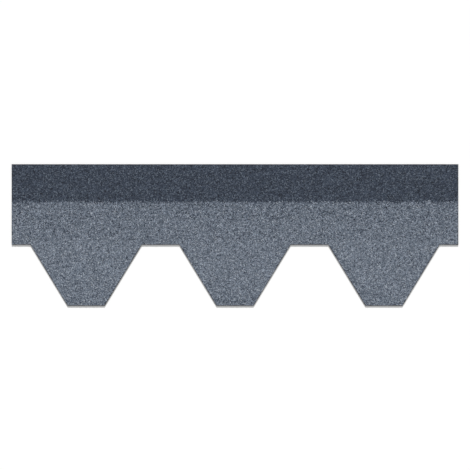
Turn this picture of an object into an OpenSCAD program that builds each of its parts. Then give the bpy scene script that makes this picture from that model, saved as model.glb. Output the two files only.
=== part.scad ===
// Strip shingle of granule-faced asphalt sheet. Its trapezoid tabs lay up as hexagons, course by course.
// The strip lies flat with its granule face up. X runs along the course, +Y points up the roof slope,
// and the origin is the middle of the underside.

/* [Strip] */
// Length of the strip along its course
strip_length = 1000; // [700:1:1200]
// Height of the strip up the slope, from the tips of the tabs to the upper edge
strip_height = 317; // [260:1:400]
// Thickness of the sheet, over its granules
strip_thickness = 3; // [2:0.1:6]

/* [Tabs] */
// Number of tabs along the strip
tab_count = 3; // [1:1:4]
// Depth of a tab from root to tip, which is also the step from one course to the next
tab_depth = 136.5; // [100:0.5:180]
// Width of a tab across its tip
tab_tip_width = 83; // [40:1:120]
// Width of a cut-out across its root
cutout_root_width = 84; // [40:1:120]
// Radius that the cutting die leaves in the corners of the tabs and cut-outs
die_radius = 2; // [0.5:0.5:6]

/* [Hidden] */

granule_colour = "#6b737e";

// Straight steps in the arc of one die corner
arc_steps = 4;

// Each end of the strip is cut through the middle of a cut-out, so every tab is whole.
tab_pitch = strip_length / tab_count;
tab_root_width = tab_pitch - cutout_root_width;

end_x = strip_length / 2;
top_y = strip_height / 2;
tip_y = -strip_height / 2;
root_y = tip_y + tab_depth;

// A corner of the outline is [point, radius], and the corners run anticlockwise.
function tab_corners(middle_x) = [
    [[middle_x - tab_root_width / 2, root_y], die_radius],
    [[middle_x - tab_tip_width / 2, tip_y], die_radius],
    [[middle_x + tab_tip_width / 2, tip_y], die_radius],
    [[middle_x + tab_root_width / 2, root_y], die_radius]
];

corners = [
    for (tab = [0 : tab_count - 1]) each tab_corners((tab + 0.5) * tab_pitch - end_x),
    [[end_x, root_y], 0],
    [[end_x, top_y], 0],
    [[-end_x, top_y], 0],
    [[-end_x, root_y], 0]
];

function unit(v) = v / norm(v);

// The arc that rounds a corner, between the sides that come from one neighbour and go to the other
function corner_arc(from, corner, to, radius) =
    let (
        back = unit(from - corner),
        ahead = unit(to - corner),
        half_angle = acos(back * ahead) / 2,
        centre = corner + unit(back + ahead) * radius / sin(half_angle),
        first = corner + back * radius / tan(half_angle) - centre,
        last = corner + ahead * radius / tan(half_angle) - centre
    )
    [for (step = [0 : arc_steps]) centre + radius * unit(first * (arc_steps - step) + last * step)];

function rounded(index) =
    let (
        count = len(corners),
        corner = corners[index][0],
        radius = corners[index][1],
        from = corners[(index + count - 1) % count][0],
        to = corners[(index + 1) % count][0]
    )
    radius > 0 ? corner_arc(from, corner, to, radius) : [corner];

outline = [for (index = [0 : len(corners) - 1]) each rounded(index)];

module shingle_strip() {
    color(granule_colour)
        linear_extrude(height = strip_thickness)
            polygon(outline);
}

shingle_strip();
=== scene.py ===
"""Dress one hexagonal asphalt strip shingle that lies flat, with its granule face up.

The sheet is a die-cut slab of coated bitumen, black at its cut edges and dusted with sand underneath. Its
face is paved with crushed stone granules, which fill the cells of a wandering lattice. A blue-grey blend
covers the tabs and the field above them, and a dark blend covers the upper part, which the next course laps.
"""
import logging
import math
from collections.abc import Iterator
from dataclasses import dataclass, field, replace
from enum import Enum
from typing import ClassVar

import bpy
import numpy as np
from mathutils import Color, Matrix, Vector
from mathutils.geometry import delaunay_2d_cdt


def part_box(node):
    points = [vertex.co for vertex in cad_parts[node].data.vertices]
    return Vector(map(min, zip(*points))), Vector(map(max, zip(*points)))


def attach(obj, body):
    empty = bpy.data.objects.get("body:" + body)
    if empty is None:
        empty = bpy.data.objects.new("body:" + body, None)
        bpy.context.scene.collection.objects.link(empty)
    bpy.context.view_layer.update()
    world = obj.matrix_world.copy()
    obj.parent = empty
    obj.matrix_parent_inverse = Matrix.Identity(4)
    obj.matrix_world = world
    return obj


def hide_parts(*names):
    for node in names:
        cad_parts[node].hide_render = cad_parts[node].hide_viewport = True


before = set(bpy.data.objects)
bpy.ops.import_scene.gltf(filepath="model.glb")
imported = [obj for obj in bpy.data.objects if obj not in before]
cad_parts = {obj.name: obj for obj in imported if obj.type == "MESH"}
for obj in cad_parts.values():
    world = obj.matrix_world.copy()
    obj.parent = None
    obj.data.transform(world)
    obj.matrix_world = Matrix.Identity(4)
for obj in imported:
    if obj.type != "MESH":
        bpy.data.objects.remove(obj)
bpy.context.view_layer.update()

NODE = "shingle_strip"
BODY = "root"

# What the meshes carry: a map for the bake, and what the granules' finish reads
BAKE_MAP = "OFBake"
TONE = "granule_tone"
SHADE = "granule_shade"
GAP = "bitumen_gap"

# A Colour is linear and has an alpha, a Screen is as a screen shows it, and a Feed is what a socket takes.
Colour = tuple[float, float, float, float]
Screen = tuple[int, int, int]
Range = tuple[float, float]
Socket = bpy.types.NodeSocket
Feed = Socket | float | Colour

WHITE: Colour = (1.0, 1.0, 1.0, 1.0)
BITUMEN: Screen = (27, 27, 29)

# Height of the sheet's top, in which the granules are bedded, over the underside
SHEET_TOP = 0.0024

log = logging.getLogger("shingle")


def linear(screen: Screen) -> Colour:
    """Turn red, green and blue out of 255, as a screen shows them, into a linear colour."""
    return (*Color([part / 255 for part in screen]).from_srgb_to_scene_linear(), 1.0)


class Chance(Enum):
    """What is left to chance, each with a seed of its own."""

    SIDES = 2025
    UNDERSIDE = 2026
    LATTICE = 2027
    GRANULES = 2028

    def source(self) -> np.random.Generator:
        """Return a fresh source of chance, which gives the same numbers each time."""
        return np.random.default_rng(self.value)


class Slot(Enum):
    """Names for the finishes."""

    SLATE = "slate_granules"
    SHADOW = "shadow_granules"
    SHEET = "asphalt_sheet"


class Steps(Enum):
    """How a colour ramp goes from one stop to the next."""

    SHARP = "CONSTANT"
    SMOOTH = "LINEAR"


class Domain(Enum):
    """What a mesh carries a number for."""

    FACE = "FACE"
    CORNER = "CORNER"


class Operation(Enum):
    """What a math node works out."""

    ADD = "ADD"
    TIMES = "MULTIPLY"
    DIVIDE = "DIVIDE"
    FRACTION = "FRACT"
    BELOW = "LESS_THAN"
    LARGER = "MAXIMUM"


class NodeBoard:
    """The nodes of a material or a world, with a short call for each kind that the scene uses.

    Attributes:
        usual_noise: The values between which a noise texture mostly stays.
    """

    usual_noise: ClassVar[Range] = (0.3, 0.7)

    def __init__(self, tree: bpy.types.NodeTree) -> None:
        """Start on the nodes that a material or a world has."""
        self.nodes = tree.nodes
        self.links = tree.links

    def put(self, socket: Socket, value: Feed) -> None:
        """Join a socket to another one, or set it to a plain value.

        Args:
            socket: The input to feed.
            value: An output socket, or the value itself.
        """
        if isinstance(value, Socket):
            self.links.new(value, socket)
        else:
            socket.default_value = value

    def feed(self, node: bpy.types.Node, **values: Feed) -> None:
        """Feed inputs of a node, each named with underscores in place of spaces."""
        for name, value in values.items():
            self.put(node.inputs[name.replace("_", " ")], value)

    def place(self) -> Socket:
        """Return the place on the object, in metres."""
        return self.nodes.new("ShaderNodeTexCoord").outputs["Object"]

    def height(self) -> Socket:
        """Take the height from the place on the object.

        Returns:
            The height over the underside, in metres.
        """
        node = self.nodes.new("ShaderNodeSeparateXYZ")
        self.feed(node, Vector=self.place())
        return node.outputs["Z"]

    def attribute(self, name: str) -> Socket:
        """Read a value that the mesh carries.

        Args:
            name: The attribute's name.

        Returns:
            The value.
        """
        node = self.nodes.new("ShaderNodeAttribute")
        node.attribute_name = name
        return node.outputs["Fac"]

    def math(self, operation: Operation, *values: Feed) -> Socket:
        """Add a math node.

        Args:
            operation: What it works out.
            values: Its inputs, as sockets or numbers.

        Returns:
            The node's result.
        """
        node = self.nodes.new("ShaderNodeMath")
        node.operation = operation.value
        for socket, value in zip(node.inputs, values):
            self.put(socket, value)
        return node.outputs["Value"]

    def spread(self, value: Socket, low: float, high: float, to_low: float, to_high: float) -> Socket:
        """Map a range of values onto another one, without going past its ends.

        Args:
            value: The value to map.
            low: The value that gives to_low.
            high: The value that gives to_high.
            to_low: First end of the new range.
            to_high: Last end of the new range.

        Returns:
            The mapped value.
        """
        node = self.nodes.new("ShaderNodeMapRange")
        self.feed(node, Value=value, From_Min=low, From_Max=high, To_Min=to_low, To_Max=to_high)
        return node.outputs["Result"]

    def noise(self, size: float, detail: float = 2.0) -> Socket:
        """Add a noise texture in the object's own space.

        Args:
            size: Size of its larger features, in metres.
            detail: Octaves of finer features.

        Returns:
            The noise, about 0.5 on average.
        """
        node = self.nodes.new("ShaderNodeTexNoise")
        self.feed(node, Vector=self.place(), Scale=1 / size, Detail=detail)
        return node.outputs["Fac"]

    def drift(self, size: float, low: float, high: float, detail: float = 2.0) -> Socket:
        """Add a noise texture that drifts between two values, from its troughs to its crests."""
        return self.spread(self.noise(size, detail), *self.usual_noise, low, high)

    def grains(self, size: float) -> tuple[Socket, Socket]:
        """Add a texture of scattered grains in the object's own space.

        Args:
            size: Step from grain to grain, in metres.

        Returns:
            The distance from the middle of the nearest grain, in steps, and a tone for each grain.
        """
        node = self.nodes.new("ShaderNodeTexVoronoi")
        self.feed(node, Vector=self.place(), Scale=1 / size)
        return node.outputs["Distance"], node.outputs["Color"]

    def ramp(self, factor: Socket, stops: list[tuple[float, Screen]], steps: Steps) -> Socket:
        """Add a colour ramp.

        Args:
            factor: The value that picks the colour.
            stops: The value at which each colour starts or lies, and the colour.
            steps: How the ramp goes from stop to stop.

        Returns:
            The colour.
        """
        node = self.nodes.new("ShaderNodeValToRGB")
        node.color_ramp.interpolation = steps.value
        marks = node.color_ramp.elements
        while len(marks) < len(stops):
            marks.new(1.0)
        for mark, (position, screen) in zip(marks, stops):
            mark.position = position
            mark.color = linear(screen)
        self.feed(node, Fac=factor)
        return node.outputs["Color"]

    def mix(self, factor: Socket, first: Feed, second: Feed) -> Socket:
        """Mix two colours.

        Args:
            factor: 0 for the first colour, 1 for the second.
            first: A socket or a linear colour.
            second: A socket or a linear colour.

        Returns:
            The mixed colour.
        """
        node = self.nodes.new("ShaderNodeMix")
        node.data_type = "RGBA"
        self.feed(node, Factor=factor)
        ends = [socket for socket in node.inputs if socket.type == "RGBA"]
        for socket, colour in zip(ends, (first, second)):
            self.put(socket, colour)
        return next(socket for socket in node.outputs if socket.type == "RGBA")

    def scaled(self, colour: Socket, factor: Socket) -> Socket:
        """Make a colour lighter or darker.

        Args:
            colour: The colour.
            factor: What it is multiplied by.

        Returns:
            The new colour.
        """
        node = self.nodes.new("ShaderNodeVectorMath")
        node.operation = "SCALE"
        self.feed(node, Vector=colour, Scale=factor)
        return node.outputs["Vector"]

    def seen_rays(self) -> Socket:
        """Tell rays by which a thing is seen, straight, mirrored or through glass, from rays that light it.

        Returns:
            1 for a ray that sees, 0 for a ray that lights.
        """
        path = self.nodes.new("ShaderNodeLightPath").outputs
        mirrored = self.math(Operation.LARGER, path["Is Glossy Ray"], path["Is Transmission Ray"])
        return self.math(Operation.LARGER, path["Is Camera Ray"], mirrored)


class ShaderBoard(NodeBoard):
    """The nodes of one material, round its principled shader."""

    def __init__(self, name: str) -> None:
        """Start a material.

        Args:
            name: The material's name.
        """
        self.material = bpy.data.materials.new(name)
        self.material.use_nodes = True
        super().__init__(self.material.node_tree)
        self.shader = self.nodes["Principled BSDF"]

    def dress(self, **values: Feed) -> None:
        """Feed the shader's inputs, each named with underscores in place of spaces."""
        self.feed(self.shader, **values)

    def bump(self, height: Socket, depth: float, strength: float) -> None:
        """Give the shader a bump.

        Args:
            height: The height over the surface, in depths.
            depth: What a height of 1 stands for, in metres.
            strength: How much of the bump shows.
        """
        node = self.nodes.new("ShaderNodeBump")
        self.feed(node, Height=height, Distance=depth, Strength=strength)
        self.dress(Normal=node.outputs["Normal"])


@dataclass(frozen=True)
class GranuleBlend:
    """A blend of ceramic-coated granules: the share of each colour, which add up to 1."""

    shares: tuple[tuple[float, Screen], ...]

    def stops(self) -> list[tuple[float, Screen]]:
        """List the value from 0 to 1 at which each colour of the blend starts, with the colour."""
        starts = np.cumsum([0.0] + [share for share, _ in self.shares[:-1]])
        return [(float(start), screen) for start, (_, screen) in zip(starts, self.shares)]


@dataclass(frozen=True)
class GranuleFinish:
    """Matte crushed stone, each granule in one colour of its blend, set in black bitumen.

    Attributes:
        slate: The blend of the tabs and of the field above them.
        shadow: The blend of the dark part.
        gap_starts: Where the bitumen starts to show, from 0 on a granule's head to 1 at its border.
        gap_cover: How much of the bitumen shows at the border.
        gap_wander: How far noise moves that start in and out.
        flicker: Least and greatest brightness among granules of one colour.
        flickers_per_blend: How often the flicker runs through its range while the tone does so once.
        mottle: Least and greatest brightness of cloudy patches.
        roughness: Roughness of the granules with the lowest tone and with the highest.
    """

    slate: GranuleBlend = GranuleBlend((
        (0.12, (69, 77, 90)),
        (0.28, (95, 104, 117)),
        (0.34, (117, 127, 140)),
        (0.20, (141, 150, 163)),
        (0.06, (171, 178, 187)),
    ))
    shadow: GranuleBlend = GranuleBlend((
        (0.27, (28, 34, 45)),
        (0.36, (49, 58, 73)),
        (0.25, (68, 78, 93)),
        (0.12, (97, 107, 120)),
    ))
    bitumen: Screen = BITUMEN
    gap_starts: float = 0.84
    gap_cover: float = 0.75
    gap_wander: float = 0.14
    gap_wander_size: float = 0.0016
    flicker: Range = (0.86, 1.14)
    flickers_per_blend: float = 53.0
    mottle: Range = (0.95, 1.05)
    mottle_size: float = 0.030
    roughness: Range = (0.93, 0.72)
    specular: float = 0.35
    pit_size: float = 0.0007
    pit_depth: float = 0.00006
    pit_strength: float = 0.6

    def material(self) -> bpy.types.Material:
        """Make the finish.

        Returns:
            The material, which reads the tone, blend and gap that the mesh carries.
        """
        board = ShaderBoard("granules")
        tone = board.attribute(TONE)
        colours = [board.ramp(tone, blend.stops(), Steps.SHARP) for blend in (self.slate, self.shadow)]
        stone = board.mix(board.attribute(SHADE), *colours)
        flicker = board.math(Operation.FRACTION, board.math(Operation.TIMES, tone, self.flickers_per_blend))
        stone = board.scaled(stone, board.spread(flicker, 0.0, 1.0, *self.flicker))
        stone = board.scaled(stone, board.drift(self.mottle_size, *self.mottle))
        wander = board.drift(self.gap_wander_size, -self.gap_wander, self.gap_wander)
        gap = board.math(Operation.ADD, board.attribute(GAP), wander)
        gap = board.spread(gap, self.gap_starts, 1.0, 0.0, self.gap_cover)
        board.dress(
            Base_Color=board.mix(gap, stone, linear(self.bitumen)),
            Roughness=board.spread(tone, 0.0, 1.0, *self.roughness),
            Specular_IOR_Level=self.specular,
        )
        board.bump(board.noise(self.pit_size), self.pit_depth, self.pit_strength)
        return board.material


@dataclass(frozen=True)
class AsphaltFinish:
    """Coated bitumen: black where it was cut, with a frayed line of fibre mat, and sanded underneath.

    Attributes:
        filler: Colour of the specks of ground stone in the bitumen.
        sand: Colours of the darkest and the lightest grains.
        sanded_up_to: Height up to which the surface is the underside.
        mat_from: Height at which the mat starts, and mat_up_to that at which it ends.
        fray: How far its fibres stray up and down.
        filler_starts: The noise at which a speck starts to show, and that at which it is whole.
        filler_cover: How much of a speck shows.
        sand_radius: Least and greatest radius of a grain, in steps from grain to grain.
        sand_tones: The tones of the darkest and the lightest grains.
        dusting_size: Size of the stretches that have more sand, or less.
        roughness: Roughness of bare bitumen and of sand.
    """

    bitumen: Screen = BITUMEN
    filler: Screen = (74, 73, 72)
    mat: Screen = (92, 89, 83)
    sand: tuple[Screen, Screen] = ((72, 70, 67), (146, 142, 134))
    sanded_up_to: float = 0.00013
    mat_from: float = 0.00108
    mat_up_to: float = 0.00134
    thickness: float = SHEET_TOP
    fray: float = 0.00022
    fray_size: float = 0.0009
    fray_detail: float = 4.0
    filler_size: float = 0.0006
    filler_detail: float = 3.0
    filler_starts: Range = (0.52, 0.72)
    filler_cover: float = 0.6
    sand_step: float = 0.0010
    sand_radius: Range = (0.36, 0.60)
    sand_tones: Range = (0.2, 0.8)
    dusting_size: float = 0.055
    dusting_detail: float = 4.0
    roughness: Range = (0.82, 0.93)
    specular: float = 0.25
    grit_depth: float = 0.00010
    grit_strength: float = 0.6

    def cut_face(self, board: ShaderBoard) -> Socket:
        """Colour the cut sides: specks of filler in black bitumen, with the mat half-way up.

        Args:
            board: The material's nodes.

        Returns:
            The colour.
        """
        fray = board.drift(self.fray_size, -self.fray, self.fray, self.fray_detail)
        level = board.math(Operation.DIVIDE, board.math(Operation.ADD, board.height(), fray), self.thickness)
        layers = [
            (0.0, self.bitumen),
            (self.mat_from / self.thickness, self.mat),
            (self.mat_up_to / self.thickness, self.bitumen),
        ]
        speck = board.noise(self.filler_size, self.filler_detail)
        speck = board.spread(speck, *self.filler_starts, 0.0, self.filler_cover)
        return board.mix(speck, board.ramp(level, layers, Steps.SHARP), linear(self.filler))

    def underside(self, board: ShaderBoard) -> tuple[Socket, Socket]:
        """Colour the underside: sand grains pressed into bitumen, with more of them in some places.

        Args:
            board: The material's nodes.

        Returns:
            The colour, and where the sand is.
        """
        distance, tone = board.grains(self.sand_step)
        radius = board.drift(self.dusting_size, *self.sand_radius, self.dusting_detail)
        sanded = board.math(Operation.BELOW, distance, radius)
        colour = board.ramp(tone, list(zip(self.sand_tones, self.sand)), Steps.SMOOTH)
        return board.mix(sanded, linear(self.bitumen), colour), sanded

    def material(self) -> bpy.types.Material:
        """Make the finish.

        Returns:
            The material, which tells the underside from the sides by the height.
        """
        board = ShaderBoard("asphalt_sheet")
        colour, sanded = self.underside(board)
        low = board.math(Operation.BELOW, board.height(), self.sanded_up_to)
        rough = board.math(Operation.TIMES, low, sanded)
        board.dress(
            Base_Color=board.mix(low, self.cut_face(board), colour),
            Roughness=board.spread(rough, 0.0, 1.0, *self.roughness),
            Specular_IOR_Level=self.specular,
        )
        grit = board.math(Operation.ADD, rough, board.noise(self.filler_size, self.filler_detail))
        board.bump(grit, self.grit_depth, self.grit_strength)
        return board.material


@dataclass(frozen=True)
class ClosedLine:
    """A closed line in the plane of the sheet, traced anticlockwise through its points."""

    points: np.ndarray

    def sides(self) -> Iterator[tuple[np.ndarray, np.ndarray]]:
        """Go through the straight sides, each from its first point to its last."""
        return zip(self.points, np.roll(self.points, -1, axis=0))

    def contains(self, spots: np.ndarray) -> np.ndarray:
        """Tell which spots lie inside the line.

        Args:
            spots: Places in the plane, one to a row.

        Returns:
            A truth value for each spot.
        """
        inside = np.zeros(len(spots), bool)
        x, y = spots.T
        for start, end in self.sides():
            if start[1] == end[1]:
                continue
            meets = start[0] + (y - start[1]) * (end[0] - start[0]) / (end[1] - start[1])
            inside ^= ((start[1] > y) != (end[1] > y)) & (x < meets)
        return inside

    def nearest(self, spots: np.ndarray) -> tuple[np.ndarray, np.ndarray, np.ndarray]:
        """Find the point of the line that is nearest to each spot.

        Args:
            spots: Places in the plane, one to a row.

        Returns:
            The nearest points, the way out of the line there, and how deep inside the line each spot is.
        """
        gap = np.full(len(spots), np.inf)
        place = np.empty_like(spots)
        outward = np.empty_like(spots)
        for start, end in self.sides():
            run = end - start
            share = np.clip((spots - start) @ run / (run @ run), 0.0, 1.0)
            foot = start + share[:, None] * run
            distance = np.hypot(*(spots - foot).T)
            closer = distance < gap
            gap[closer] = distance[closer]
            place[closer] = foot[closer]
            outward[closer] = np.array((run[1], -run[0])) / np.hypot(*run)
        return place, outward, np.where(self.contains(spots), gap, -gap)

    def depth(self, spots: np.ndarray) -> np.ndarray:
        """Measure how deep inside the line each spot is, below 0 outside it."""
        return self.nearest(spots)[2]

    def divided(self, step: float) -> "ClosedLine":
        """Divide each side into equal parts.

        Args:
            step: The longest part, in metres.

        Returns:
            The same line with more points.
        """
        points = []
        for start, end in self.sides():
            parts = math.ceil(np.hypot(*(end - start)) / step)
            points.append(start + (end - start) * np.arange(parts)[:, None] / parts)
        return ClosedLine(np.concatenate(points))

    def runs(self) -> np.ndarray:
        """Measure how far along the line each point is, with the whole length last."""
        lengths = [np.hypot(*(end - start)) for start, end in self.sides()]
        return np.append(0.0, np.cumsum(lengths))

    def outward(self) -> np.ndarray:
        """Find the way straight out of the line at each of its points, with a length of 1."""
        run = np.roll(self.points, -1, axis=0) - np.roll(self.points, 1, axis=0)
        return np.stack([run[:, 1], -run[:, 0]], axis=1) / np.hypot(*run.T)[:, None]


@dataclass(frozen=True)
class DieCut:
    """The outline that the cutting die leaves, seen from above, in metres.

    Each end of the strip is cut through the middle of a cut-out, so every tab is whole.
    """

    length: float
    height: float
    tab_count: int = 3
    tab_depth: float = 0.1365
    tab_tip_width: float = 0.083
    cutout_root_width: float = 0.084
    die_radius: float = 0.002
    arc_steps: int = 4

    @property
    def tab_pitch(self) -> float:
        """Step from one tab to the next."""
        return self.length / self.tab_count

    @property
    def tip_y(self) -> float:
        """Place of the tab tips up the slope."""
        return -self.height / 2

    @property
    def root_y(self) -> float:
        """Place of the roots of the tabs and cut-outs up the slope."""
        return self.tip_y + self.tab_depth

    @property
    def top_y(self) -> float:
        """Place of the upper edge up the slope."""
        return self.height / 2

    def corners(self) -> list[tuple[Vector, float]]:
        """List the corners anticlockwise.

        Returns:
            Each corner with the radius that the die leaves there.
        """
        end_x = self.length / 2
        half_root = (self.tab_pitch - self.cutout_root_width) / 2
        half_tip = self.tab_tip_width / 2
        tab = (
            (-half_root, self.root_y),
            (-half_tip, self.tip_y),
            (half_tip, self.tip_y),
            (half_root, self.root_y),
        )
        ends = ((end_x, self.root_y), (end_x, self.top_y), (-end_x, self.top_y), (-end_x, self.root_y))
        middles = [(index + 0.5) * self.tab_pitch - end_x for index in range(self.tab_count)]
        rounded = [(Vector((middle + x, y)), self.die_radius) for middle in middles for x, y in tab]
        return rounded + [(Vector(corner), 0.0) for corner in ends]

    def line(self) -> ClosedLine:
        """Trace the outline, with an arc at each die corner.

        Returns:
            The outline.
        """
        corners = self.corners()
        points = []
        for index, (corner, radius) in enumerate(corners):
            if radius == 0:
                points.append(corner)
                continue
            back = (corners[index - 1][0] - corner).normalized()
            ahead = (corners[(index + 1) % len(corners)][0] - corner).normalized()
            half = math.acos(back.dot(ahead)) / 2
            centre = corner + (back + ahead).normalized() * radius / math.sin(half)
            first = corner + back * radius / math.tan(half) - centre
            last = corner + ahead * radius / math.tan(half) - centre
            for step in range(self.arc_steps + 1):
                way = first.lerp(last, step / self.arc_steps).normalized()
                points.append(centre + way * radius)
        return ClosedLine(np.array(points))


@dataclass(frozen=True)
class MapRows:
    """Rows, one above another on the bake's map, into which a long flat stretch is cut.

    Attributes:
        starts: How far along the stretch each row starts.
        length: Length of the longest row.
        low: Where the stretch starts across its width.
        height: Its width.
        margin: Room that is left at the ends and the sides of each row.
        band: Where the rows start and end up the map.
    """

    starts: np.ndarray
    length: float
    low: float
    height: float
    margin: tuple[float, float]
    band: Range

    @classmethod
    def over(cls, spots: np.ndarray, rows: int, margin: tuple[float, float], band: Range) -> "MapRows":
        """Cut a stretch into rows of like length.

        Args:
            spots: Places all over the stretch, along it and across it.
            rows: Number of rows.
            margin: Room that is left at the ends and the sides of each row.
            band: Where the rows start and end up the map.

        Returns:
            The rows.
        """
        along = spots[:, 0]
        row = np.minimum((along - along.min()) * rows // np.ptp(along), rows - 1)
        parts = [along[row == index] for index in range(rows)]
        starts = np.array([part.min() for part in parts])
        length = max(np.ptp(part) for part in parts)
        return cls(starts, length, spots[:, 1].min(), np.ptp(spots[:, 1]), margin, band)

    def lay(self, anchors: np.ndarray, spots: np.ndarray) -> np.ndarray:
        """Lay places out on the map.

        Args:
            anchors: How far along the stretch the face of each place is, which picks its row.
            spots: The places, along the stretch and across it.

        Returns:
            Where they lie on the map.
        """
        row = np.searchsorted(self.starts, anchors, side="right") - 1
        end, side = self.margin
        bottom, top = self.band
        across = (spots[:, 0] - self.starts[row] + end) / (self.length + 2 * end)
        up = (row + (spots[:, 1] - self.low + side) / (self.height + 2 * side)) / len(self.starts)
        return np.column_stack([across, bottom + up * (top - bottom)])


def squeezed(spots: np.ndarray, band: Range, margin: float = 0.1) -> np.ndarray:
    """Lay hidden places out on a narrow band of the bake's map.

    Args:
        spots: Places in the plane, one to a row.
        band: Where the band starts and ends up the map.
        margin: Share of the map's width that is left on either side.

    Returns:
        Where they lie on the map.
    """
    share = (spots - spots.min(axis=0)) / np.ptp(spots, axis=0)
    low = np.array((margin, band[0]))
    high = np.array((1 - margin, band[1]))
    return low + share * (high - low)


@dataclass
class MeshDraft:
    """The points and faces of a mesh in the making.

    Attributes:
        points: The points, one to a row.
        faces: The point numbers of the faces, one table for each call of add.
        places: Where the corners of those faces lie on the bake's map.
    """

    points: np.ndarray
    faces: list[np.ndarray] = field(default_factory=list)
    places: list[np.ndarray] = field(default_factory=list)

    def add(self, faces: np.ndarray, places: np.ndarray | None = None) -> None:
        """Add faces that have the same number of corners.

        Args:
            faces: The point numbers of each face, anticlockwise as seen from outside.
            places: Where each corner lies on the bake's map, or nothing if there is no map.
        """
        self.faces.append(faces)
        if places is not None:
            self.places.append(places.reshape(-1, 2))

    def counts(self) -> np.ndarray:
        """Count the corners of each face."""
        return np.concatenate([np.full(len(faces), faces.shape[1]) for faces in self.faces])

    def mesh(self, name: str) -> bpy.types.Mesh:
        """Make the Blender mesh.

        Args:
            name: The mesh's name.

        Returns:
            The mesh, with the bake's map if the faces have one.
        """
        made = bpy.data.meshes.new(name)
        counts = self.counts()
        corners = np.concatenate([faces.ravel() for faces in self.faces])
        made.vertices.add(len(self.points))
        made.vertices.foreach_set("co", self.points.astype(np.float32).ravel())
        made.loops.add(len(corners))
        made.loops.foreach_set("vertex_index", corners.astype(np.int32))
        made.polygons.add(len(counts))
        made.polygons.foreach_set("loop_start", (np.cumsum(counts) - counts).astype(np.int32))
        if self.places:
            layer = made.uv_layers.new(name=BAKE_MAP, do_init=False)
            layer.uv.foreach_set("vector", np.concatenate(self.places).astype(np.float32).ravel())
        made.update(calc_edges=True)
        return made


def carry(mesh: bpy.types.Mesh, name: str, domain: Domain, values: np.ndarray) -> None:
    """Store a named number on each face or face corner of a mesh."""
    layer = mesh.attributes.new(name, "FLOAT", domain.value)
    layer.data.foreach_set("value", values.astype(np.float32))


def add_object(name: str, data: bpy.types.ID) -> bpy.types.Object:
    """Put a mesh, a lamp or a camera in the scene.

    Args:
        name: The object's name.
        data: The mesh, lamp or camera.

    Returns:
        The object.
    """
    made = bpy.data.objects.new(name, data)
    bpy.context.scene.collection.objects.link(made)
    return made


def add_piece(mesh: bpy.types.Mesh, material: bpy.types.Material) -> bpy.types.Object:
    """Put a mesh in the scene as a piece of the strip.

    Args:
        mesh: The mesh.
        material: Its finish.

    Returns:
        The piece.
    """
    mesh.materials.append(material)
    piece = add_object(mesh.name, mesh)
    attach(piece, BODY)
    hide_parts(NODE)
    return piece


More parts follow.
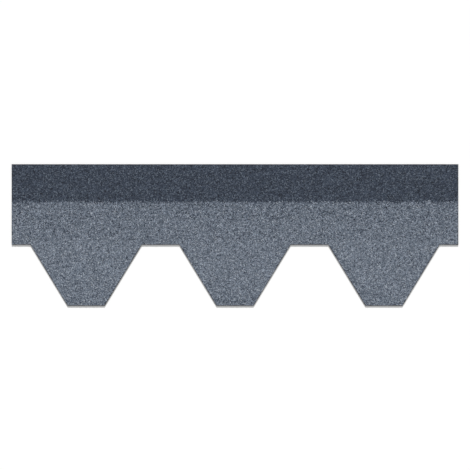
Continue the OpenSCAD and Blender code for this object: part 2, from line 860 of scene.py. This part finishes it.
@dataclass
class AsphaltSheet:
    """The coated sheet under the granules, with its die-cut sides and sanded underside.

    Attributes:
        side_profile: Height over the underside and inset from the outline, from the bottom of a side up.
        floor_wander: How far the points of the underside wander, as a share of the step between them.
    """

    cut: DieCut
    finish: AsphaltFinish
    side_step: float = 0.0013
    side_wander: float = 0.00010
    side_profile: tuple[tuple[float, float], ...] = (
        (0.0, 0.00032),
        (0.00018, 0.00010),
        (0.00100, 0.00010),
        (0.00120, 0.00022),
        (0.00140, 0.00010),
        (0.00205, 0.00012),
        (0.00232, 0.00026),
        (SHEET_TOP, 0.00140),
    )
    floor_step: float = 0.009
    floor_wander: float = 0.25
    floor_rise: float = 0.00010
    floor_map_rows: int = 2
    floor_map_margin: tuple[float, float] = (0.012, 0.012)
    floor_map_band: Range = (0.0, 0.79)
    side_map_rows: int = 11
    side_map_margin: tuple[float, float] = (0.0020, 0.0005)
    side_map_band: Range = (0.79, 0.98)
    hidden_map_band: Range = (0.985, 0.995)

    def rings(self, line: ClosedLine) -> np.ndarray:
        """Trace the sides ring by ring, from the underside up.

        Args:
            line: The outline, with a point at each step.

        Returns:
            Points by ring, place on the ring and axis.
        """
        rng = Chance.SIDES.source()
        outward = line.outward()
        rings = []
        for level, inset in self.side_profile:
            moved = rng.uniform(-self.side_wander, self.side_wander, len(outward)) - inset
            flat = line.points + outward * moved[:, None]
            rings.append(np.column_stack([flat, np.full(len(flat), level)]))
        return np.array(rings)

    def underside(self, ring: np.ndarray) -> tuple[np.ndarray, np.ndarray]:
        """Fill the lowest ring with a slightly uneven net of triangles.

        Args:
            ring: The points of the ring.

        Returns:
            The points inside the ring, and the triangles, which number the ring's own points first.
        """
        rng = Chance.UNDERSIDE.source()
        line = ClosedLine(ring[:, :2])
        across = np.arange(-self.cut.length / 2, self.cut.length / 2, self.floor_step)
        up = np.arange(self.cut.tip_y, self.cut.top_y, self.floor_step)
        inner = np.stack(np.meshgrid(across, up), axis=-1).reshape(-1, 2)
        inner = inner + rng.uniform(-self.floor_wander, self.floor_wander, inner.shape) * self.floor_step
        inner = inner[line.depth(inner) > self.floor_step / 2]
        flat = [Vector(spot) for spot in np.concatenate([line.points, inner])]
        inside_only, closeness = 1, 1e-7
        _, _, net, *_ = delaunay_2d_cdt(flat, [], [list(range(len(ring)))], inside_only, closeness)
        level = rng.uniform(0.0, self.floor_rise, len(inner))
        return np.column_stack([inner, level]), np.array(net)

    def add_underside(self, draft: MeshDraft, net: np.ndarray) -> None:
        """Add the underside to the sheet's mesh.

        Args:
            draft: The mesh in the making.
            net: The triangles of the underside.
        """
        spots = draft.points[net, :2]
        middles = spots.mean(axis=1)
        rows = MapRows.over(middles, self.floor_map_rows, self.floor_map_margin, self.floor_map_band)
        draft.add(net, rows.lay(np.repeat(middles[:, 0], 3), spots.reshape(-1, 2)))

    def add_sides(self, draft: MeshDraft, line: ClosedLine) -> None:
        """Add the cut sides to the sheet's mesh.

        Args:
            draft: The mesh in the making, which starts with the rings.
            line: The outline, with a point at each step.
        """
        here = np.arange(len(line.points))
        after = np.roll(here, -1)
        runs = line.runs()
        rises = np.append(0.0, np.cumsum(np.hypot(*np.diff(self.side_profile, axis=0).T)))
        spots = np.stack(np.meshgrid(runs[:-1], rises), axis=-1).reshape(-1, 2)
        rows = MapRows.over(spots, self.side_map_rows, self.side_map_margin, self.side_map_band)
        for level in range(len(rises) - 1):
            low, high = level * len(here), (level + 1) * len(here)
            along = runs[np.column_stack([here, here + 1, here + 1, here])]
            up = np.tile(rises[[level, level, level + 1, level + 1]], len(here))
            places = rows.lay(np.repeat(runs[:-1], 4), np.column_stack([along.ravel(), up]))
            draft.add(np.column_stack([low + here, low + after, high + after, high + here]), places)

    def build(self) -> list[bpy.types.Object]:
        """Make the sheet.

        Returns:
            The one piece.
        """
        line = self.cut.line().divided(self.side_step)
        rings = self.rings(line)
        count = len(line.points)
        inner, net = self.underside(rings[0])
        draft = MeshDraft(np.concatenate([rings.reshape(-1, 3), inner]))
        net = np.where(net < count, net, net - count + len(rings) * count)
        self.add_underside(draft, net[:, ::-1])
        self.add_sides(draft, line)
        lid = (len(rings) - 1) * count + np.arange(count)
        draft.add(lid[None, :], squeezed(rings[-1, :, :2], self.hidden_map_band))
        return [add_piece(draft.mesh("asphalt_sheet"), self.finish.material())]


@dataclass(frozen=True)
class RingSides:
    """Sides of the rings round cells, anticlockwise.

    Attributes:
        starts: The corner where each side starts.
        ends: The corner where it ends.
        owners: The cell that it belongs to.
    """

    starts: np.ndarray
    ends: np.ndarray
    owners: np.ndarray

    def on_rim(self) -> "RingSides":
        """Take the sides that no other cell shares.

        Returns:
            The sides on the rims round the cells.
        """
        count = self.starts.max() + 1
        alone = ~np.isin(self.starts * count + self.ends, self.ends * count + self.starts)
        return RingSides(self.starts[alone], self.ends[alone], self.owners[alone])

    def loops(self) -> list[np.ndarray]:
        """Trace the closed loops that the sides make.

        Returns:
            The corners of each loop, anticlockwise.
        """
        follows = dict(zip(self.starts.tolist(), self.ends.tolist()))
        loops = []
        while follows:
            loop = [next(iter(follows))]
            while loop[-1] in follows:
                loop.append(follows.pop(loop[-1]))
            loops.append(np.array(loop[1:]))
        return loops


@dataclass(frozen=True)
class Cells:
    """Cells that granules fill, with a ring of corners round each one.

    Attributes:
        heads: The highest place of each cell.
        corners: The corners that the cells share.
        rings: The numbers of the corners round each cell, anticlockwise.
        granules: The number of the granule in each cell.
        joined: Whether the same granule goes on across each side of the ring.
    """

    heads: np.ndarray
    corners: np.ndarray
    rings: np.ndarray
    granules: np.ndarray
    joined: np.ndarray

    def keep(self, chosen: np.ndarray) -> "Cells":
        """Take some of the cells, with the corners that they need.

        Args:
            chosen: A truth value for each cell.

        Returns:
            The chosen cells.
        """
        used, rings = np.unique(self.rings[chosen], return_inverse=True)
        return Cells(
            heads=self.heads[chosen],
            corners=self.corners[used],
            rings=rings.reshape(-1, self.rings.shape[1]),
            granules=self.granules[chosen],
            joined=self.joined[chosen],
        )

    def facets(self) -> tuple[np.ndarray, np.ndarray]:
        """Measure the facets between each head and the sides of its ring, seen from above.

        Returns:
            The ways from each head to its corners, and the size of its smallest facet, below 0 if folded.
        """
        spokes = self.corners[self.rings] - self.heads[:, None]
        x, y = np.moveaxis(spokes, 2, 0)
        sizes = (x * np.roll(y, -1, axis=1) - y * np.roll(x, -1, axis=1)) / 2
        return spokes, sizes.min(axis=1)

    def settle(self, least: float) -> "Cells":
        """Move heads with a folded or tiny facet to the middle of their ring, and drop what stays folded.

        Args:
            least: Size of the smallest facet that may stay, in square metres.

        Returns:
            The cells whose facets all lie flat.
        """
        spokes, smallest = self.facets()
        tight = smallest < least
        moved = replace(self, heads=self.heads + np.where(tight[:, None], spokes.mean(axis=1), 0.0))
        return moved.keep(moved.facets()[1] > 0)

    def sides(self) -> RingSides:
        """List the sides of all the rings, ring by ring."""
        owners = np.indices(self.rings.shape)[0]
        return RingSides(self.rings.ravel(), np.roll(self.rings, -1, axis=1).ravel(), owners.ravel())


@dataclass(frozen=True)
class CellLattice:
    """A triangular lattice of wandering points, with a six-sided cell round each one.

    A granule fills one cell, or a few that are joined. The lattice is turned, so that its rows run along
    none of the cut edges.

    Attributes:
        wander: How far a point wanders from its place in the lattice, in spacings.
        lean: How far the highest place of a cell leans from its point, in spacings.
        join_share: Share of the cells that are joined to a neighbour.
        spare: Rows and columns that reach past the strip.
    """

    spacing: float = 0.0014
    wander: float = 0.40
    lean: float = 0.14
    join_share: float = 0.50
    turn: float = math.radians(16)
    spare: int = 4

    def points(self, rows: int, columns: int, rng: np.random.Generator) -> np.ndarray:
        """Scatter the points round their places in the lattice.

        Args:
            rows: Number of rows.
            columns: Number of points in a row.
            rng: The source of chance.

        Returns:
            The points by row, column and axis.
        """
        row, column = np.indices((rows, columns))
        across = (column - columns / 2 + row % 2 / 2) * self.spacing
        up = (row - rows / 2) * self.spacing * math.sqrt(3) / 2
        cos, sin = math.cos(self.turn), math.sin(self.turn)
        places = np.stack([across * cos - up * sin, across * sin + up * cos], axis=-1)
        return places + rng.uniform(-self.wander, self.wander, places.shape) * self.spacing

    def corners(self, points: np.ndarray) -> np.ndarray:
        """Find the corners of the cells, one at the middle of each triangle of neighbours.

        Args:
            points: The points by row, column and axis.

        Returns:
            The corners of the upright triangles, row by row, and then those of the hanging ones.
        """
        row, column = np.indices((points.shape[0] - 1, points.shape[1] - 1))
        odd = row % 2
        upright = points[row, column] + points[row, column + 1] + points[row + 1, column + odd]
        hanging = points[row + 1, column] + points[row + 1, column + 1] + points[row, column + 1 - odd]
        return np.concatenate([upright.reshape(-1, 2), hanging.reshape(-1, 2)]) / 3

    def granules(self, rows: int, columns: int, rng: np.random.Generator) -> np.ndarray:
        """Join some cells to the next one in their row or to one in the row above.

        Args:
            rows: Number of rows.
            columns: Number of cells in a row.
            rng: The source of chance.

        Returns:
            The number of the granule in each cell, by row and column.
        """
        numbers = np.arange(rows * columns).reshape(rows, columns)
        pick = rng.random(numbers.shape)
        joined = np.where(pick < self.join_share / 2, np.roll(numbers, -1, axis=1), numbers)
        return np.where(pick > 1 - self.join_share / 2, np.roll(numbers, -1, axis=0), joined)

    def lay(self, length: float, height: float) -> Cells:
        """Lay the lattice over a rectangle round the origin.

        Args:
            length: The rectangle's size along X.
            height: The rectangle's size along Y.

        Returns:
            The cells that have a whole ring of corners.
        """
        rng = Chance.LATTICE.source()
        cos, sin = math.cos(self.turn), math.sin(self.turn)
        columns = math.ceil((length * cos + height * sin) / self.spacing) + self.spare
        rows = math.ceil((length * sin + height * cos) / self.spacing * 2 / math.sqrt(3)) + self.spare
        points = self.points(rows, columns, rng)
        granules = self.granules(rows, columns, rng)
        row, column = (grid.ravel() for grid in np.indices((rows, columns))[:, 1:-1, 1:-1])
        left = column - 1 + row % 2

        def upright(at_row: np.ndarray, at_column: np.ndarray) -> np.ndarray:
            """Number the corner in an upright triangle."""
            return at_row * (columns - 1) + at_column

        def hanging(at_row: np.ndarray, at_column: np.ndarray) -> np.ndarray:
            """Number the corner in a hanging triangle."""
            return upright(at_row + rows - 1, at_column)

        rings = np.column_stack([
            upright(row, column),
            hanging(row, left),
            upright(row, column - 1),
            hanging(row - 1, column - 1),
            upright(row - 1, left),
            hanging(row - 1, column),
        ])
        across = np.column_stack([
            granules[row + 1, left + 1],
            granules[row + 1, left],
            granules[row, column - 1],
            granules[row - 1, left],
            granules[row - 1, left + 1],
            granules[row, column + 1],
        ])
        own = granules[row, column]
        heads = points[row, column] + rng.uniform(-self.lean, self.lean, (len(row), 2)) * self.spacing
        return Cells(heads, self.corners(points), rings, own, across == own[:, None])


@dataclass(frozen=True)
class Paving:
    """The granules of a stretch of the face, cell by cell.

    Attributes:
        cells: The cells that they fill.
        tone: A number from 0 to 1 that picks the colour from the blend.
        dark: Whether it is the dark blend.
        lost: Whether the granule fell off and left the bitumen bare, which near the cut edges also paints
            shade along them.
    """

    cells: Cells
    tone: np.ndarray
    dark: np.ndarray
    lost: np.ndarray

    def keep(self, chosen: np.ndarray) -> "Paving":
        """Take the granules of some of the cells, with a truth value given for each cell."""
        return Paving(self.cells.keep(chosen), self.tone[chosen], self.dark[chosen], self.lost[chosen])


@dataclass
class GranuleFace:
    """The granules on the face of the strip, in pieces that follow the tabs, the field and the dark part.

    Attributes:
        bed_level: Height of the bitumen between the granules, over the underside.
        saddle_rise: How much higher two joined cells meet than others do.
        granule_rise: Least and greatest height of a granule over the bitumen.
        foot_level: How low the pieces reach into the sheet.
        rim: Least and greatest width of the bare rim at the cut edges, wide enough that its black also
            paints shade along the edges.
        least_depth: How far inside the outline the outermost granules stand.
        least_facet: Smallest area of a facet, in square metres.
        lost_share: Share of the granules that fell off.
        chipped_and_shade_share: Share that the cutting die knocked off, within chipped_and_shade_depth of
            the outline; the bare bitumen there also paints shade along the edges.
        shadow_feather: How far granules of the two blends spill over the edge between them.
        shadow_wander: How far each of the shadow_waves moves that edge up or down.
        dark_mix_shares: Share of dark granules among the blue-grey ones at the heights of dark_mix_from_tip,
            more near the tips and just below the dark part.
    """

    cut: DieCut
    finish: GranuleFinish
    lattice: CellLattice = CellLattice()
    bed_level: float = 0.00243
    bed_rise: float = 0.00010
    saddle_rise: float = 0.00018
    granule_rise: Range = (0.00020, 0.00057)
    foot_level: float = 0.0022
    rim: Range = (0.00025, 0.00100)
    least_depth: float = 0.00075
    least_facet: float = 2e-8
    lost_share: float = 0.012
    chipped_and_shade_share: float = 0.30
    chipped_and_shade_depth: float = 0.0016
    shadow_from_tip: float = 0.2325
    shadow_feather: float = 0.0012
    shadow_wander: float = 0.00035
    shadow_waves: tuple[int, ...] = (7, 19, 43, 97)
    shadow_phase: float = 0.37
    dark_mix_from_tip: tuple[float, ...] = (0.012, 0.030, 0.050, 0.141, 0.151, 0.180, 0.196)
    dark_mix_shares: tuple[float, ...] = (0.19, 0.13, 0.08, 0.09, 0.19, 0.19, 0.27)
    map_margin: tuple[float, float] = (0.002, 0.002)
    map_band: Range = (0.0, 0.97)
    hidden_map_band: Range = (0.975, 0.995)

    @property
    def shadow_y(self) -> float:
        """Place of the dark part's lower edge up the slope."""
        return self.cut.tip_y + self.shadow_from_tip

    def trimmed_cells(self, line: ClosedLine, rng: np.random.Generator) -> Cells:
        """Choose the cells that lie on the strip, and trim them so that a ragged rim stays bare, its black
        also painting shade along the edges.

        Args:
            line: The outline.
            rng: The source of chance.

        Returns:
            The cells, seen from above.
        """
        cells = self.lattice.lay(self.cut.length, self.cut.height)
        cells = cells.keep(line.depth(cells.heads) > self.least_depth)
        place, outward, depth = line.nearest(cells.corners)
        rim = rng.uniform(*self.rim, len(depth))
        trimmed = np.where((depth < rim)[:, None], place - rim[:, None] * outward, cells.corners)
        return replace(cells, corners=trimmed).settle(self.least_facet)

    def pave(self) -> Paving:
        """Give each granule on the strip its shape, tone and blend.

        Returns:
            The granules of the whole face.
        """
        rng = Chance.GRANULES.source()
        line = self.cut.line()
        cells = self.trimmed_cells(line, rng)
        numbers, granule = np.unique(cells.granules, return_inverse=True)
        count = len(numbers)

        saddle = np.zeros(len(cells.corners))
        saddle[cells.rings[cells.joined]] = self.saddle_rise
        saddle[np.roll(cells.rings, -1, axis=1)[cells.joined]] = self.saddle_rise
        corner_level = self.bed_level + saddle + rng.uniform(0.0, self.bed_rise, len(saddle))
        # Granules knocked off near the cut edges: real chipping, and bare black bitumen that also paints
        # shade along the edges.
        near_edge = line.depth(cells.heads) < self.chipped_and_shade_depth
        lost = rng.random(count)[granule] < np.where(near_edge, self.chipped_and_shade_share, self.lost_share)
        rise = rng.uniform(*self.granule_rise, count)[granule]
        head_level = self.bed_level + np.where(lost, 0.0, rise)
        tone = rng.random(count)[granule]
        dark = self.is_dark(cells.heads, rng.logistic(0.0, 1.0, count)[granule], rng.random(count)[granule])
        heads = np.column_stack([cells.heads, head_level])
        corners = np.column_stack([cells.corners, corner_level])
        return Paving(replace(cells, heads=heads, corners=corners), tone, dark, lost)

    def is_dark(self, heads: np.ndarray, spill: np.ndarray, chance: np.ndarray) -> np.ndarray:
        """Choose the granules of the dark blend: those of the dark part, and scattered ones below it.

        Args:
            heads: The place of each cell.
            spill: How far its granule fell from its place up the slope, in feathers.
            chance: A number from 0 to 1 for its granule.

        Returns:
            A truth value for each cell.
        """
        x, y = heads.T
        edge = np.full(len(x), self.shadow_y)
        turns = 2 * math.pi * (x / self.cut.length + self.shadow_phase)
        for waves in self.shadow_waves:
            edge += self.shadow_wander * np.sin(waves * turns)
        # Scattered dark granules, more near the tips and just below the dark part, make the blue-grey darker
        # there.
        stray = np.interp(y - self.cut.tip_y, self.dark_mix_from_tip, self.dark_mix_shares)
        return (spill * self.shadow_feather < y - edge) | (chance < stray)

    def bands(self) -> Iterator[tuple[str, Slot, float, float]]:
        """Split the face into bands that run along the strip and are light enough to handle.

        Yields:
            The name of the piece in the band, its finish, and where the band starts and ends up the slope.
        """
        zones = (
            ("tab_granules", Slot.SLATE, self.cut.tip_y, self.cut.root_y),
            ("field_granules", Slot.SLATE, self.cut.root_y, self.shadow_y),
            ("shadow_granules", Slot.SHADOW, self.shadow_y, self.cut.top_y),
        )
        for name, slot, low, high in zones:
            middle = (low + high) / 2
            yield f"{name}_lower", slot, low, middle
            yield f"{name}_upper", slot, middle, high

    def mesh(self, name: str, paving: Paving) -> bpy.types.Mesh:
        """Make closed meshes: the granules, a wall round each stretch of them and a flat back in the sheet.

        Args:
            name: The mesh's name.
            paving: The granules.

        Returns:
            The mesh, which carries what the finish reads.
        """
        cells = paving.cells
        sides = cells.sides()
        edge = sides.on_rim()
        rims = edge.loops()
        count = len(cells.corners)
        feet = cells.corners[np.concatenate(rims)]
        feet[:, 2] = self.foot_level
        first_foot = count + len(cells.heads)
        foot = np.zeros(count, int)
        foot[np.concatenate(rims)] = first_foot + np.arange(len(feet))

        draft = MeshDraft(np.concatenate([cells.corners, cells.heads, feet]))
        size = np.ptp(cells.heads, axis=0)
        rows = MapRows.over(cells.heads, int(math.sqrt(size[0] / size[1])), self.map_margin, self.map_band)
        tops = np.column_stack([count + sides.owners, sides.starts, sides.ends])
        walls = np.column_stack([edge.ends, edge.starts, foot[edge.starts], foot[edge.ends]])
        for faces, owners in ((tops, sides.owners), (walls, edge.owners)):
            anchors = np.repeat(cells.heads[owners, 0], faces.shape[1])
            draft.add(faces, rows.lay(anchors, draft.points[faces.ravel()]))
        hidden = squeezed(feet[:, :2], self.hidden_map_band)
        for rim in rims:
            back = foot[rim][::-1]
            draft.add(back[None, :], hidden[back - first_foot])

        mesh = draft.mesh(name)
        mesh.shade_flat()
        self.mark(mesh, paving, sides.owners, edge.owners)
        return mesh

    def mark(self, mesh: bpy.types.Mesh, paving: Paving, tops: np.ndarray, walls: np.ndarray) -> None:
        """Store on a mesh what the finish reads.

        Args:
            mesh: The mesh, which has its facets first, then its walls and then its backs.
            paving: The granules.
            tops: The cell of each facet.
            walls: The cell of each wall.
        """
        owners = np.concatenate([tops, walls])
        backs = np.zeros(len(mesh.polygons) - len(owners))
        carry(mesh, TONE, Domain.FACE, np.append(paving.tone[owners], backs))
        carry(mesh, SHADE, Domain.FACE, np.append(paving.dark[owners], backs))
        border = 1.0 - paving.cells.joined.ravel()
        gap = np.column_stack([paving.lost[tops], border, border]).ravel()
        carry(mesh, GAP, Domain.CORNER, np.append(gap, np.ones(len(mesh.loops) - len(gap))))

    def build(self) -> list[bpy.types.Object]:
        """Make the face, with one piece for each band.

        Returns:
            The pieces.
        """
        paving = self.pave()
        material = self.finish.material()
        y = paving.cells.heads[:, 1]
        pieces = []
        for name, slot, low, high in self.bands():
            mesh = self.mesh(name, paving.keep((y >= low) & (y < high)))
            pieces.append(add_piece(mesh, material))
        return pieces


@dataclass(frozen=True)
class FloorFinish:
    """A plain white floor that still shows the strip's shadow."""

    paint: Screen = (243, 243, 243)
    roughness: float = 0.9
    specular: float = 0.0
    glow: float = 0.12

    def material(self) -> bpy.types.Material:
        """Make the finish, a little brighter for what sees the floor than for what it lights.

        Returns:
            The material.
        """
        board = ShaderBoard("studio_floor")
        board.dress(
            Base_Color=linear(self.paint),
            Roughness=self.roughness,
            Specular_IOR_Level=self.specular,
            Emission_Color=WHITE,
            Emission_Strength=board.math(Operation.TIMES, board.seen_rays(), self.glow),
        )
        return board.material


@dataclass
class Studio:
    """A white floor under soft light, and a camera that looks straight down on the strip.

    Attributes:
        key_from: The way to the lamp.
        key_level: Light that the floor takes from the lamp, of 1 in all.
        sky_level: Light that it takes from all round.
    """

    strip_length: float
    floor_finish: FloorFinish
    strip_share_of_picture: float = 0.95
    lens: float = 100.0
    sensor: float = 36.0
    floor_size: float = 30.0
    floor_drop: float = 0.0002
    key_from: tuple[float, float, float] = (0.0, 1.0, 0.55)
    key_spread: float = math.radians(8)
    key_level: float = 0.62
    sky_level: float = 0.38

    def build(self) -> None:
        """Set up the whole studio."""
        self.add_camera()
        self.add_floor()
        self.add_key()
        self.add_sky()
        bpy.context.scene.view_settings.view_transform = "Standard"

    def add_camera(self) -> None:
        """Hang the camera over the middle of the strip, with the upper edge at the top of the picture."""
        data = bpy.data.cameras.new("camera")
        data.lens = self.lens
        data.sensor_width = self.sensor
        camera = add_object("camera", data)
        camera.location.z = self.strip_length / self.strip_share_of_picture * self.lens / self.sensor
        bpy.context.scene.camera = camera

    def add_floor(self) -> None:
        """Lay the floor just under the strip."""
        half = self.floor_size / 2
        points = np.array([(-half, -half), (half, -half), (half, half), (-half, half)])
        draft = MeshDraft(np.column_stack([points, np.full(4, -self.floor_drop)]))
        draft.add(np.array([[0, 1, 2, 3]]))
        mesh = draft.mesh("floor")
        mesh.materials.append(self.floor_finish.material())
        add_object("floor", mesh)

    def add_key(self) -> None:
        """Set a wide soft lamp far up the slope, so that shadows fall below the tabs."""
        direction = Vector(self.key_from).normalized()
        data = bpy.data.lights.new("key", "SUN")
        data.angle = self.key_spread
        data.energy = self.key_level * math.pi / direction.z
        lamp = add_object("key", data)
        lamp.rotation_euler = direction.to_track_quat("Z", "Y").to_euler()

    def add_sky(self) -> None:
        """Light the strip evenly from all round, with white behind it."""
        world = bpy.data.worlds.new("studio")
        world.use_nodes = True
        board = NodeBoard(world.node_tree)
        strength = board.spread(board.seen_rays(), 0.0, 1.0, self.sky_level, 1.0)
        board.feed(board.nodes["Background"], Color=WHITE, Strength=strength)
        bpy.context.scene.world = world


def main() -> None:
    """Build the strip and the studio round it."""
    logging.basicConfig(level=logging.INFO, format="%(name)s: %(message)s")
    low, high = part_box(NODE)
    cut = DieCut(length=high.x - low.x, height=high.y - low.y)
    for part in (AsphaltSheet(cut, AsphaltFinish()), GranuleFace(cut, GranuleFinish())):
        for piece in part.build():
            log.info("%s: %d faces", piece.name, len(piece.data.polygons))
    Studio(cut.length, FloorFinish()).build()


if __name__ == "__main__":
    main()
